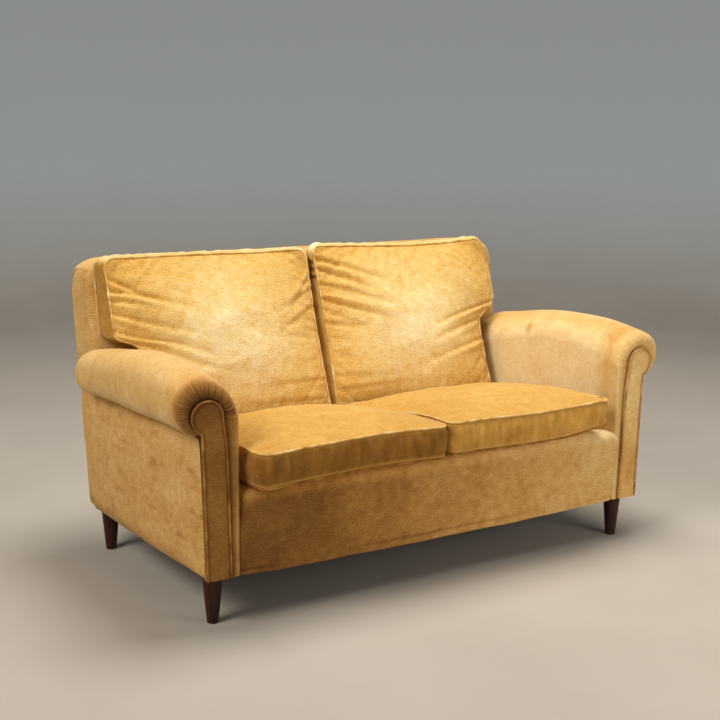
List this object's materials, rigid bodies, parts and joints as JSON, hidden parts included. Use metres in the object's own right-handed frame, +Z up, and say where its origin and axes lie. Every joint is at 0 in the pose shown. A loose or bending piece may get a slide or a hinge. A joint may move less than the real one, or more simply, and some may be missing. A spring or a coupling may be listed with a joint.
{
  "type": "two-seat sofa",
  "caption": "Velvet sofa with rolled arms, loose seat and eared back cushions, a hardwood frame and short turned wooden legs.",
  "frame": {"origin": "on the floor under the middle of the sofa's outer box", "axes": "+X to the right seen from the front, +Y from the front to the rear, +Z up"},
  "size_m": [1.6, 0.9329, 0.8683],
  "materials": {
    "cushion_velvet": "worn gold velvet with a fine rib",
    "body_velvet": "worn gold velvet with a fine rib, browner in the shade",
    "piping": "pale velvet piping",
    "leg_wood": "dark stained satin hardwood",
    "frame_wood": "raw sawn hardwood",
    "foam": "open-cell foam",
    "webbing": "woven rubber webbing",
    "steel": "zinc plated steel",
    "dust_cloth": "black non-woven dust cloth",
    "deck_cloth": "plain cotton over padding",
    "zip": "brass zip on cotton tape"
  },
  "bodies": {
    "frame": {"back_centre_post": "frame_wood", "back_lower_rail": "frame_wood", "back_straps": "webbing", "back_top_rail": "frame_wood", "centre_seat_rail": "frame_wood", "corner_braces": "frame_wood", "dust_cover": "dust_cloth", "frame_dowels": "frame_wood", "front_border": "body_velvet", "front_left_leg": "leg_wood", "front_right_leg": "leg_wood", "front_seat_rail": "frame_wood", "inside_back_pad": "body_velvet", "left_arm_facing": "body_velvet", "left_arm_pad": "body_velvet", "left_arm_post": "frame_wood", "left_arm_rail": "frame_wood", "left_arm_welt": "piping", "left_back_border": "body_velvet", "left_back_post": "frame_wood", "left_front_block": "frame_wood", "left_outside_arm": "body_velvet", "left_side_rail": "frame_wood", "leg_bolts": "steel", "leg_plates": "steel", "outside_back_panel": "body_velvet", "rear_left_leg": "leg_wood", "rear_right_leg": "leg_wood", "rear_seat_rail": "frame_wood", "right_arm_facing": "body_velvet", "right_arm_pad": "body_velvet", "right_arm_post": "frame_wood", "right_arm_rail": "frame_wood", "right_arm_welt": "piping", "right_back_border": "body_velvet", "right_back_post": "frame_wood", "right_front_block": "frame_wood", "right_outside_arm": "body_velvet", "right_side_rail": "frame_wood", "seat_deck_pad": "deck_cloth", "seat_straps": "webbing", "tack_rails": "frame_wood", "wood_screws": "steel"},
    "left_seat_cushion": {"left_seat_cushion_core": "foam", "left_seat_cushion_cover": "cushion_velvet", "left_seat_cushion_piping": "piping", "left_seat_cushion_zip": "zip"},
    "right_seat_cushion": {"right_seat_cushion_core": "foam", "right_seat_cushion_cover": "cushion_velvet", "right_seat_cushion_piping": "piping", "right_seat_cushion_zip": "zip"},
    "left_back_cushion": {"left_back_cushion_core": "foam", "left_back_cushion_cover": "cushion_velvet", "left_back_cushion_piping": "piping", "left_back_cushion_zip": "zip"},
    "right_back_cushion": {"right_back_cushion_core": "foam", "right_back_cushion_cover": "cushion_velvet", "right_back_cushion_piping": "piping", "right_back_cushion_zip": "zip"}
  },
  "joints": [
    {"name": "left_seat_cushion_lift", "type": "slide", "parent": "frame", "child": "left_seat_cushion", "axis": [0, 0, 1], "range_m": [0, 0.55]},
    {"name": "right_seat_cushion_lift", "type": "slide", "parent": "frame", "child": "right_seat_cushion", "axis": [0, 0, 1], "range_m": [0, 0.55]},
    {"name": "left_back_cushion_lift", "type": "slide", "parent": "frame", "child": "left_back_cushion", "axis": [0, 0, 1], "range_m": [0, 0.55]},
    {"name": "right_back_cushion_lift", "type": "slide", "parent": "frame", "child": "right_back_cushion", "axis": [0, 0, 1], "range_m": [0, 0.55]}
  ]
}
